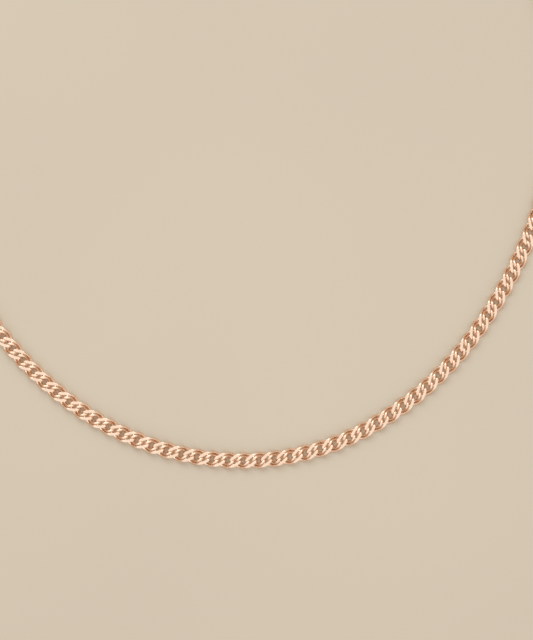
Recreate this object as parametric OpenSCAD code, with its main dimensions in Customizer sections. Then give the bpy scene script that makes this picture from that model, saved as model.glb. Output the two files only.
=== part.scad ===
// Flat double-curb chain necklace, laid open on a surface.
// Every link is a pair: a long oval ring with a short oval ring inside it. The long
// ring is twisted about the chain's own axis and cut flat on the two broad faces.
// Origin: middle of the bounding box, on the surface. +Z up, +Y towards the clasp.

/* [Chain] */
// Distance from one link pair to the next along the chain
pitch = 3.46; // [3.45:0.01:3.47]
// Diameter of the ring wire
wire_d = 0.56; // [0.54:0.01:0.56]
// Thickness of the chain between its two flat-cut faces
chain_t = 1.6; // [1.5:0.05:1.7]

/* [Outer ring of a pair] */
// Half length of the wire's centre line
outer_half_length = 2.92; // [2.9:0.01:2.92]
// Half width of the wire's centre line
outer_half_width = 1.54; // [1.52:0.01:1.56]
// Radius of the centre line round each end
outer_end_r = 0.9; // [0.88:0.01:0.92]
// Turn of each end about the chain's axis, in degrees
outer_twist = 62; // [60:1:64]

/* [Inner ring of a pair] */
// Half length of the wire's centre line
inner_half_length = 1.41; // [1.39:0.01:1.42]
// Half width of the wire's centre line
inner_half_width = 0.95; // [0.94:0.01:0.96]

/* [Route on the surface] */
// Right arm from the middle outwards: [link pairs, degrees turned to the left]
right_arcs = [[8, 28], [10, 27], [10, 19], [33, 90]];
// Left arm from the middle outwards: [link pairs, degrees turned to the right]
left_arcs = [[6, 19], [6, 18], [8, 20], [41, 105]];

/* [End rings] */
// Centre line radius of the eye soldered to each end of the chain
eye_r = 0.95; // [0.94:0.01:0.96]
// Wire diameter of the end eyes
eye_wire_d = 0.6; // [0.56:0.02:0.6]
// Centre line radius of the jump rings
jump_r = 1.5; // [1.48:0.01:1.52]
// Wire diameter of the jump rings
jump_wire_d = 0.54; // [0.5:0.02:0.54]
// Centre line radius of the ring that the clasp closes on
catch_r = 2.1; // [2.05:0.05:2.2]
// Wire diameter of that ring
catch_wire_d = 0.7; // [0.66:0.02:0.7]

/* [Clasp] */
// Thickness of the clasp
clasp_t = 2.2; // [2.2:0.1:2.4]
// Centre line radius of the hook
hook_r = 2.2; // [2.1:0.05:2.3]
// Wire diameter of the hook
hook_d = 1.2; // [1.1:0.05:1.2]
// Radius of the round housing behind the hook
housing_r = 1.7; // [1.65:0.05:1.75]
// Radius of the lever's pin
pin_r = 0.35; // [0.33:0.01:0.36]
// Width of the slot that holds the lever
slot_w = 0.9; // [0.85:0.05:0.95]

/* [Hidden] */
$fn = 40;

ROSE_GOLD = [0.88, 0.64, 0.52];
ROSE_GOLD_DEEP = [0.78, 0.53, 0.42];
STEEL = [0.72, 0.72, 0.74];

// Rigid sections on each side of the middle one, and link pairs in each: the arms
// have one pair more than these together
SECTIONS_PER_SIDE = 20;
PAIRS_PER_SECTION = 3;

// Small fits
RUN_GAP = 0.03;
PRESS_GAP = 0.01;
SOLDER_GAP = 0.01;
// A ball this much wider than the wire closes each bend between two arcs
KINK_BALL = 1.16;
TIP_BALL = 1.03;

// The wire's end arcs turn this far to each side of a ring's tip
END_SWEEP = 80;

// Heights of the centre lines above the surface
chain_z = chain_t / 2;
eye_z = clasp_t / 2;
jump_z = jump_r + jump_wire_d / 2;

// Places along an end, measured from the centre of the last link pair
eye_x = outer_half_length + wire_d / 2 + SOLDER_GAP + eye_wire_d / 2 + eye_r;
eye_far_x = eye_x + eye_r;
EYE_TO_JUMP = 0.43;
JUMP_TO_CATCH = 0.4;
JUMP_TO_CLASP = 1.5;
jump_x = eye_far_x + EYE_TO_JUMP;
catch_near_x = jump_x + JUMP_TO_CATCH;
catch_tilt = asin((eye_z - catch_wire_d / 2) / (2 * catch_r));
clasp_x = jump_x + JUMP_TO_CLASP;

// Places on the clasp, measured from the centre of its eye
clasp_eye_r = 1.1;
clasp_eye_wire_d = 0.7;
housing_x = 3.1;
hook_x = 6.2;
hook_from = -75;
hook_sweep = 240;
pivot = [3.2, -0.6];
gate_tip = [6.8, -1.04];
gate_d = 0.7;
thumb_tip = [2.5, 2.35];
thumb_d = 0.8;
hub_r = 0.85;
spring_r = 1.1;
spring_t = 0.14;
spring_w = slot_w - 0.2;
spring_from = 155;
spring_sweep = 60;
// The slot is open on both sides of the housing round the lever's hub, and on one
// side only in front of it, where the housing ends
slot_back = 1.75;
slot_hub_l = 2.1;
slot_front = 3.7;
slot_front_l = 2;
slot_front_top = 0.4;

// One turn for each junction between neighbouring pairs
function turns(arcs) = [for (a = arcs) for (k = [1 : a[0]]) a[1] / a[0]];

// Positions and headings [x, y, heading] of the pairs of one arm: half a pitch
// along the old heading and half a pitch along the new one
function walk(t) = [
    for (
        i = 0, h = 0, x = 0, y = 0;
        i <= len(t);
        turn = i < len(t) ? t[i] : 0,
        x = x + pitch / 2 * (cos(h) + cos(h + turn)),
        y = y + pitch / 2 * (sin(h) + sin(h + turn)),
        h = h + turn,
        i = i + 1
    ) [x, y, h]
];

function column(rows, c) = [for (r = rows) r[c]];

right_walk = walk(turns(right_arcs));
left_walk = [for (p = walk(turns(left_arcs))) [-p[0], p[1], -p[2]]];
last_pair = len(right_walk) - 1;

// The box of the whole necklace on the surface; its top is the hook's highest point
half_w = outer_half_width + wire_d / 2;
x_low = min(column(left_walk, 0)) - half_w;
x_high = max(column(right_walk, 0)) + half_w;
y_low = -half_w;
left_end = left_walk[last_pair];
y_high = left_end[1] + (clasp_x + hook_x) * sin(left_end[2] + 180) + hook_r + hook_d / 2;
centre = [(x_low + x_high) / 2, (y_low + y_high) / 2];

function two_digits(n) = n < 10 ? str("0", n) : str(n);

SECTIONS = [1 : SECTIONS_PER_SIDE];
RIGHT_NAMES = [for (k = SECTIONS) str("right_links_", two_digits(k))];
LEFT_NAMES = [for (k = SECTIONS) str("left_links_", two_digits(k))];
END_NAMES = [
    "right_end_eye", "right_jump_ring", "catch_ring",
    "left_end_eye", "left_jump_ring",
    "clasp_body", "clasp_lever", "clasp_pin", "clasp_spring"
];

// A round wire bent to an arc about +Z, from angle a and through a sweep
module wire_arc(r, d, a, sweep) {
    rotate([0, 0, a])
        rotate_extrude(angle = sweep)
            translate([r, 0])
                circle(d = d);
}

module wire_ring(r, d) {
    rotate_extrude()
        translate([r, 0])
            circle(d = d);
}

// One twisted oval ring about the origin, its length along X
module twisted_ring(half_length, half_width, end_r, twist) {
    end_x = half_length - end_r + end_r * cos(END_SWEEP);
    end_y = end_r * sin(END_SWEEP) * cos(twist);
    end_z = end_r * sin(END_SWEEP) * sin(twist);
    chord = norm([end_x, end_z]);
    rise = half_width - end_y;
    side_r = (rise * rise + chord * chord) / (2 * rise);
    side_sweep = asin(chord / side_r);
    for (side = [0, 180]) {
        rotate([0, 0, side])
            rotate([twist, 0, 0])
                translate([end_r - half_length, 0, 0])
                    wire_arc(end_r, wire_d, 180 - END_SWEEP, 2 * END_SWEEP);
        rotate([side, 0, 0])
            rotate([0, atan2(end_z, end_x), 0])
                translate([0, half_width - side_r, 0])
                    wire_arc(side_r, wire_d, 90 - side_sweep, 2 * side_sweep);
        rotate([side, 0, 0]) {
            translate([-end_x, end_y, end_z])
                sphere(d = wire_d * KINK_BALL);
            translate([end_x, end_y, -end_z])
                sphere(d = wire_d * KINK_BALL);
        }
    }
}

// A flat ring with straight sides and round ends about the origin, its length along X
module flat_ring(half_length, half_width) {
    straight = half_length - half_width;
    for (side = [0, 180])
        rotate([0, 0, side]) {
            translate([straight, 0, 0])
                wire_arc(half_width, wire_d, -90, 180);
            translate([-straight, half_width, 0])
                rotate([0, 90, 0])
                    cylinder(d = wire_d, h = 2 * straight);
        }
}

// A long ring with a short ring inside it, the long one cut flat on both faces
module link_pair() {
    intersection() {
        twisted_ring(outer_half_length, outer_half_width, outer_end_r, outer_twist);
        cube([4 * outer_half_length, 4 * outer_half_width, chain_t], center = true);
    }
    flat_ring(inner_half_length, inner_half_width);
}

// Puts its children on pair i of an arm, with X along the arm
module on_pair(arm, i, outwards = 0) {
    p = arm[i];
    translate([p[0] - centre[0], p[1] - centre[1], chain_z])
        rotate([0, 0, p[2] + outwards])
            children();
}

module middle_links() {
    color(ROSE_GOLD) {
        on_pair(left_walk, 1) link_pair();
        on_pair(right_walk, 0) link_pair();
        on_pair(right_walk, 1) link_pair();
    }
}

module links(arm, k) {
    first = 2 + (k - 1) * PAIRS_PER_SECTION;
    color(ROSE_GOLD)
        for (i = [first : first + PAIRS_PER_SECTION - 1])
            on_pair(arm, i) link_pair();
}

// Puts its children at the end of an arm, on the surface, with X pointing outwards
module at_right_end() {
    on_pair(right_walk, last_pair) translate([0, 0, -chain_z]) children();
}

module at_left_end() {
    on_pair(left_walk, last_pair, 180) translate([0, 0, -chain_z]) children();
}

module end_eye() {
    color(ROSE_GOLD_DEEP)
        translate([eye_x, 0, eye_z])
            wire_ring(eye_r, eye_wire_d);
}

module jump_ring() {
    color(ROSE_GOLD_DEEP)
        translate([jump_x, 0, jump_z])
            rotate([90, 0, 0])
                wire_ring(jump_r, jump_wire_d);
}

module catch_ring() {
    color(ROSE_GOLD)
        translate([catch_near_x, 0, eye_z])
            rotate([0, catch_tilt, 0])
                translate([catch_r, 0, 0])
                    wire_ring(catch_r, catch_wire_d);
}

// Puts its children in the clasp's own frame: the eye's centre, halfway up the clasp
module on_clasp() {
    at_left_end() translate([clasp_x, 0, eye_z]) children();
}

module lever_slot() {
    reach = 2 * housing_r;
    translate([slot_back, -reach, -slot_w / 2])
        cube([slot_hub_l, 2 * reach, slot_w]);
    translate([slot_front, -reach, -slot_w / 2])
        cube([slot_front_l, reach + slot_front_top, slot_w]);
}

module clasp_body() {
    color(ROSE_GOLD)
        on_clasp()
            difference() {
                union() {
                    wire_ring(clasp_eye_r, clasp_eye_wire_d);
                    translate([housing_x, 0, 0])
                        cylinder(r = housing_r, h = clasp_t, center = true);
                    translate([hook_x, 0, 0]) {
                        wire_arc(hook_r, hook_d, hook_from, hook_sweep);
                        rotate([0, 0, hook_from])
                            translate([hook_r, 0, 0])
                                sphere(d = hook_d * TIP_BALL);
                    }
                }
                lever_slot();
                translate([pivot[0], pivot[1], 0])
                    cylinder(r = pin_r + PRESS_GAP, h = 2 * clasp_t, center = true);
            }
}

// A round bar between two points of the clasp's mid plane
module lever_bar(from, to, d) {
    step = to - from;
    translate([from[0], from[1], 0])
        rotate([0, 90, atan2(step[1], step[0])])
            cylinder(d = d, h = norm(step));
}

module clasp_lever() {
    lever_t = slot_w - 2 * RUN_GAP;
    color(ROSE_GOLD_DEEP)
        on_clasp()
            difference() {
                union() {
                    translate([pivot[0], pivot[1], 0])
                        cylinder(r = hub_r, h = lever_t, center = true);
                    lever_bar(pivot, gate_tip, gate_d);
                    translate([gate_tip[0], gate_tip[1], 0])
                        sphere(d = gate_d * TIP_BALL);
                    lever_bar(pivot, thumb_tip, thumb_d);
                    translate([thumb_tip[0], thumb_tip[1], 0])
                        sphere(d = thumb_d * TIP_BALL);
                }
                translate([pivot[0], pivot[1], 0])
                    cylinder(r = pin_r + RUN_GAP, h = 2 * clasp_t, center = true);
            }
}

module clasp_pin() {
    color(ROSE_GOLD_DEEP)
        on_clasp()
            translate([pivot[0], pivot[1], 0])
                cylinder(r = pin_r, h = clasp_t, center = true);
}

// A short leaf bent round the lever's hub
module clasp_spring() {
    color(STEEL)
        on_clasp()
            translate([pivot[0], pivot[1], 0])
                rotate([0, 0, spring_from])
                    rotate_extrude(angle = spring_sweep)
                        translate([spring_r, 0])
                            square([spring_t, spring_w], center = true);
}

middle_links();
for (k = SECTIONS) links(right_walk, k);
for (k = SECTIONS) links(left_walk, k);
at_right_end() end_eye();  // right_end_eye
at_right_end() jump_ring();  // right_jump_ring
at_right_end() catch_ring();
at_left_end() end_eye();  // left_end_eye
at_left_end() jump_ring();  // left_jump_ring
clasp_body();
clasp_lever();
clasp_pin();
clasp_spring();
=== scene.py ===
"""A flat double-curb chain necklace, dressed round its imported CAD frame."""

import math

import bpy
from mathutils import Matrix, Vector


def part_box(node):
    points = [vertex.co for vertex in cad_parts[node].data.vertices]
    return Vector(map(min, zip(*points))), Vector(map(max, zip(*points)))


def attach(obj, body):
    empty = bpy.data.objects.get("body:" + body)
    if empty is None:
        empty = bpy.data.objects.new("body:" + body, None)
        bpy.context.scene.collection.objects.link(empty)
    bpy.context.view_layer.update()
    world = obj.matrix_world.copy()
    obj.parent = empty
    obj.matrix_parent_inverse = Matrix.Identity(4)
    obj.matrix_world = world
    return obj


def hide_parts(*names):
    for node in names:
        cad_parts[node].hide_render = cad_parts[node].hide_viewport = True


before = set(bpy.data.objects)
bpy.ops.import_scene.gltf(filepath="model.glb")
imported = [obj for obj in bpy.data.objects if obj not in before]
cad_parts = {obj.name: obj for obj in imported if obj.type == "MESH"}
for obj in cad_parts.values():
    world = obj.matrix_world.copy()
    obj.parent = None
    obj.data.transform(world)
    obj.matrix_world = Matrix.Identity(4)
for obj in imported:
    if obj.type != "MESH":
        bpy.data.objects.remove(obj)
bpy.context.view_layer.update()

MM = 0.001

# ---------------------------------------------------------------- the chain's own sizes, in mm
PITCH = 3.46
CHAIN_T = 1.6
HALF_T = CHAIN_T / 2
CHAIN_W = 3.64
# Each arm's bends from the lowest pair outwards: a number of pairs, and their turn in degrees
RIGHT_ARCS = ((8, 28), (10, 27), (10, 19), (33, 90))
LEFT_ARCS = ((6, 19), (6, 18), (8, 20), (41, 105))
PAIRS_PER_SECTION = 3
SECTIONS = 20

# Half length and half width of the wire's middle line, how square the oval is, the twist of
# each end in degrees, the wire's thickness across the ring and along its axis, and points along
OUTER_RING = dict(
    half_length=2.88, half_width=1.55, squareness=0.86, twist=60, across=0.56, axial=0.62, steps=88
)
INNER_RING = dict(
    half_length=1.36, half_width=0.94, squareness=0.88, twist=64, across=0.58, axial=0.62, steps=60
)
# How much faster than evenly a ring twists at its middle
MIDDLE_TWIST = 1.25
# Points round the wire, and points round a ring before they are spaced evenly
WIRE_STEPS = 20
FINE_STEPS = 1440
# Each pair lies this many degrees across the chain's own direction
LEAN = 3.0
# The cut faces are flat, and round off over this depth at their edges
CUT_ROUND = 0.05


def turns(arcs):
    return [turn / count for count, turn in arcs for _ in range(count)]


def walk(arcs):
    """Places and headings (x, y, degrees) of an arm's pairs, half a pitch on each heading."""
    x = y = heading = 0.0
    places = [(x, y, heading)]
    for turn in turns(arcs):
        for angle in (heading, heading + turn):
            x += PITCH / 2 * math.cos(math.radians(angle))
            y += PITCH / 2 * math.sin(math.radians(angle))
        heading += turn
        places.append((x, y, heading))
    return places


RIGHT_WALK = walk(RIGHT_ARCS)
LEFT_WALK = [(-x, y, -heading) for x, y, heading in walk(LEFT_ARCS)]

# The first pair's place in the frame, from the middle section's box
MIDDLE_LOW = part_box("middle_links")[0]
CENTRE_X = (max(p[0] for p in RIGHT_WALK) + min(p[0] for p in LEFT_WALK)) / 2
CENTRE_Y = -CHAIN_W / 2 - MIDDLE_LOW.y / MM


def wire_path(half_length, half_width, squareness, twist, steps):
    """Evenly spaced points of a closed oval that is twisted about its length, each with the
    ring's axis there."""

    def turn_at(x):
        part = x / half_length
        return -math.radians(twist) * part * (MIDDLE_TWIST - (MIDDLE_TWIST - 1) * part * part)

    def point(t):
        c, s = math.cos(t), math.sin(t)
        x = half_length * math.copysign(abs(c) ** squareness, c)
        y = half_width * math.copysign(abs(s) ** squareness, s)
        turn = turn_at(x)
        return Vector((x, y * math.cos(turn), y * math.sin(turn)))

    dense = [point(2 * math.pi * (k + 0.5) / FINE_STEPS) for k in range(FINE_STEPS)]
    lengths = [0.0]
    for k in range(FINE_STEPS):
        lengths.append(lengths[-1] + (dense[(k + 1) % FINE_STEPS] - dense[k]).length)
    points, k = [], 0
    for step in range(steps):
        want = lengths[-1] * step / steps
        while lengths[k + 1] < want:
            k += 1
        part = (want - lengths[k]) / (lengths[k + 1] - lengths[k])
        here = dense[k].lerp(dense[(k + 1) % FINE_STEPS], part)
        turn = turn_at(here.x)
        points.append((here, Vector((0, -math.sin(turn), math.cos(turn)))))
    return points


def cut_flat(z):
    """Height of a surface point after the chain's two faces are cut flat."""
    start = HALF_T - CUT_ROUND
    over = abs(z) - start
    if over <= 0:
        return z
    return math.copysign(start + CUT_ROUND * (1 - math.exp(-over / CUT_ROUND)), z)


def ring_mesh(across, axial, **shape):
    """Vertices and quads of one ring, in mm, about its own centre."""
    path = wire_path(**shape)
    count = len(path)
    verts, faces = [], []
    for k, (here, axis) in enumerate(path):
        along = (path[(k + 1) % count][0] - path[k - 1][0]).normalized()
        outwards = along.cross(axis).normalized()
        up = outwards.cross(along).normalized()
        for j in range(WIRE_STEPS):
            a = 2 * math.pi * (j + 0.5) / WIRE_STEPS
            p = here + outwards * (math.cos(a) * across / 2) + up * (math.sin(a) * axial / 2)
            verts.append(Vector((p.x, p.y, cut_flat(p.z))))
    for k in range(count):
        here, there = k * WIRE_STEPS, (k + 1) % count * WIRE_STEPS
        for j in range(WIRE_STEPS):
            other = (j + 1) % WIRE_STEPS
            faces.append((here + j, here + other, there + other, there + j))
    return verts, faces


# ---------------------------------------------------------------- materials


def new_material(name):
    material = bpy.data.materials.new(name)
    material.use_nodes = True
    nodes, links = material.node_tree.nodes, material.node_tree.links
    return material, nodes, links, nodes["Principled BSDF"]


def noise_node(nodes, links, coordinates, scale, detail=3.0, roughness=0.5, stretch=None):
    noise = nodes.new("ShaderNodeTexNoise")
    noise.inputs["Scale"].default_value = scale
    noise.inputs["Detail"].default_value = detail
    noise.inputs["Roughness"].default_value = roughness
    source = coordinates
    if stretch:
        mapping = nodes.new("ShaderNodeMapping")
        mapping.inputs["Scale"].default_value = stretch
        links.new(coordinates, mapping.inputs["Vector"])
        source = mapping.outputs["Vector"]
    links.new(source, noise.inputs["Vector"])
    return noise


def ramp_node(nodes, links, value, stops):
    ramp = nodes.new("ShaderNodeValToRGB")
    elements = ramp.color_ramp.elements
    while len(elements) < len(stops):
        elements.new(0.5)
    for element, (place, colour) in zip(elements, stops):
        element.position = place
        element.color = (*colour, 1)
    links.new(value, ramp.inputs["Fac"])
    return ramp


def grey(v):
    return (v, v, v)


def metal(name, colours, roughness, scratch=0.05, bump_distance=6e-6):
    """Polished metal: slow colour drift, uneven polish and very fine hairline scratches."""
    material, nodes, links, shader = new_material(name)
    place = nodes.new("ShaderNodeTexCoord").outputs["Object"]
    shader.inputs["Metallic"].default_value = 1.0
    drift = noise_node(nodes, links, place, 260, 2.0)
    tone = ramp_node(nodes, links, drift.outputs["Fac"], ((0.3, colours[0]), (0.7, colours[1])))
    links.new(tone.outputs["Color"], shader.inputs["Base Color"])
    polish = noise_node(nodes, links, place, 1900, 4.0, 0.6)
    low, high = roughness
    gloss = ramp_node(nodes, links, polish.outputs["Fac"], ((0.25, grey(low)), (0.75, grey(high))))
    links.new(gloss.outputs["Color"], shader.inputs["Roughness"])
    hair = noise_node(nodes, links, place, 2600, 2.0, 0.7, (1.0, 0.16, 1.0))
    grain = noise_node(nodes, links, place, 9000, 2.0, 0.6)
    mix = nodes.new("ShaderNodeMath")
    mix.operation = "ADD"
    links.new(hair.outputs["Fac"], mix.inputs[0])
    links.new(grain.outputs["Fac"], mix.inputs[1])
    bump = nodes.new("ShaderNodeBump")
    bump.inputs["Strength"].default_value = scratch
    bump.inputs["Distance"].default_value = bump_distance
    links.new(mix.outputs["Value"], bump.inputs["Height"])
    links.new(bump.outputs["Normal"], shader.inputs["Normal"])
    return material


CHAIN_GOLD = metal("chain_gold", ((0.94, 0.70, 0.53), (0.98, 0.75, 0.59)), (0.20, 0.30))
CLASP_GOLD = metal("clasp_gold", ((0.91, 0.65, 0.49), (0.96, 0.70, 0.54)), (0.14, 0.24))
SPRING_STEEL = metal("spring_steel", ((0.60, 0.60, 0.62), (0.70, 0.70, 0.71)), (0.22, 0.34))


# ---------------------------------------------------------------- the chain


def place_matrix(place):
    x, y, heading = place
    heading += LEAN
    return Matrix.Translation(Vector((x - CENTRE_X, y - CENTRE_Y, HALF_T))) @ Matrix.Rotation(
        math.radians(heading), 4, "Z"
    )


OUTER_MESH = ring_mesh(**OUTER_RING)
INNER_MESH = ring_mesh(**INNER_RING)


def add_piece(name, verts, faces, material, body, nodes):
    mesh = bpy.data.meshes.new(name)
    mesh.from_pydata(verts, [], faces)
    mesh.validate()
    mesh.polygons.foreach_set("use_smooth", [True] * len(mesh.polygons))
    mesh.materials.append(material)
    mesh.update()
    piece = bpy.data.objects.new(name, mesh)
    bpy.context.scene.collection.objects.link(piece)
    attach(piece, body)
    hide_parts(*nodes)


def add_section(node, places):
    verts, faces = [], []
    for place in places:
        matrix = place_matrix(place)
        for ring_verts, ring_faces in (OUTER_MESH, INNER_MESH):
            base = len(verts)
            verts += [(matrix @ v) * MM for v in ring_verts]
            faces += [tuple(base + i for i in face) for face in ring_faces]
    add_piece(node + "_rings", verts, faces, CHAIN_GOLD, node, [node])


add_section("middle_links", (LEFT_WALK[1], RIGHT_WALK[0], RIGHT_WALK[1]))
for arm, arm_walk in (("right", RIGHT_WALK), ("left", LEFT_WALK)):
    for section in range(1, SECTIONS + 1):
        start = 2 + (section - 1) * PAIRS_PER_SECTION
        add_section(f"{arm}_links_{section:02d}", arm_walk[start : start + PAIRS_PER_SECTION])

END_RINGS = ("right_end_eye", "left_end_eye", "right_jump_ring", "left_jump_ring", "catch_ring")
CLASP_PARTS = ("clasp_body", "clasp_lever", "clasp_pin")


def dress(node, material):
    """Give a CAD node that keeps its own shape its material."""
    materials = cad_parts[node].data.materials
    materials.clear()
    materials.append(material)


for node in END_RINGS + CLASP_PARTS:
    dress(node, CLASP_GOLD)
dress("clasp_spring", SPRING_STEEL)

# ---------------------------------------------------------------- the surface


FLOOR_TONES = ((0.3, (0.45, 0.455, 0.39)), (0.7, (0.48, 0.485, 0.415)))
# The floor gives off a little warm light of its own, a stand-in that warms the shadows in the rings
FLOOR_GLOW, GLOW_STRENGTH = (1.0, 0.3, 0.03, 1.0), 0.12


def pale_floor():
    material, nodes, links, shader = new_material("pale_floor")
    place = nodes.new("ShaderNodeTexCoord").outputs["Object"]
    cloud = noise_node(nodes, links, place, 7, 2.0)
    tone = ramp_node(nodes, links, cloud.outputs["Fac"], FLOOR_TONES)
    links.new(tone.outputs["Color"], shader.inputs["Base Color"])
    shader.inputs["Roughness"].default_value = 0.75
    shader.inputs["Specular IOR Level"].default_value = 0.25
    shader.inputs["Emission Color"].default_value = FLOOR_GLOW
    shader.inputs["Emission Strength"].default_value = GLOW_STRENGTH
    fine = noise_node(nodes, links, place, 900, 4.0)
    bump = nodes.new("ShaderNodeBump")
    bump.inputs["Strength"].default_value = 0.12
    bump.inputs["Distance"].default_value = 2e-5
    links.new(fine.outputs["Fac"], bump.inputs["Height"])
    links.new(bump.outputs["Normal"], shader.inputs["Normal"])
    return material


FLOOR_SIZE = 4.0
floor_mesh = bpy.data.meshes.new("floor")
half = FLOOR_SIZE / 2
floor_mesh.from_pydata(
    [(-half, -half, 0), (half, -half, 0), (half, half, 0), (-half, half, 0)], [], [(0, 1, 2, 3)]
)
floor_mesh.materials.append(pale_floor())
floor = bpy.data.objects.new("floor", floor_mesh)
bpy.context.scene.collection.objects.link(floor)

# ---------------------------------------------------------------- camera and light

# What the camera looks at, in mm from the lowest pair, and how high a picture it takes
AIM = (5.2, 31.2)
VIEW_HEIGHT = 141.9
LENS, SENSOR = 85.0, 36.0

camera_data = bpy.data.cameras.new("camera")
camera_data.lens = LENS
camera_data.sensor_width = SENSOR
camera = bpy.data.objects.new("camera", camera_data)
bpy.context.scene.collection.objects.link(camera)
distance = VIEW_HEIGHT / SENSOR * LENS
camera.location = Vector((AIM[0] - CENTRE_X, AIM[1] - CENTRE_Y, distance + HALF_T)) * MM
camera_data.clip_start, camera_data.clip_end = 0.01, 20
bpy.context.scene.camera = camera


def area_light(name, place, aim, size, power, colour):
    data = bpy.data.lights.new(name, "AREA")
    data.shape = "RECTANGLE"
    data.size, data.size_y = size
    data.energy = power
    data.color = colour
    light = bpy.data.objects.new(name, data)
    light.location = place
    light.rotation_mode = "QUATERNION"
    light.rotation_quaternion = (Vector(aim) - Vector(place)).to_track_quat("-Z", "Y")
    bpy.context.scene.collection.objects.link(light)


# Place, aim and size in metres, power in watts
area_light("key", (-0.15, 0.62, 0.78), (0, -0.03, 0), (0.9, 0.6), 3.6, (1.0, 0.98, 0.95))

# Brightness of the sky by height, from the horizon to straight above
SKY_TONES = (
    (0.0, (0.12, 0.08, 0.055)),
    (0.18, (0.40, 0.32, 0.25)),
    (0.38, (0.95, 0.92, 0.88)),
    (1.0, (1.02, 1.0, 0.975)),
)


def sky():
    world = bpy.data.worlds.new("studio")
    bpy.context.scene.world = world
    world.use_nodes = True
    nodes, links = world.node_tree.nodes, world.node_tree.links
    back = nodes["Background"]
    direction = nodes.new("ShaderNodeTexCoord").outputs["Generated"]
    split = nodes.new("ShaderNodeSeparateXYZ")
    links.new(direction, split.inputs["Vector"])
    ramp = ramp_node(nodes, links, split.outputs["Z"], SKY_TONES)
    links.new(ramp.outputs["Color"], back.inputs["Color"])
    back.inputs["Strength"].default_value = 1.0


sky()
bpy.context.scene.view_settings.view_transform = "Standard"
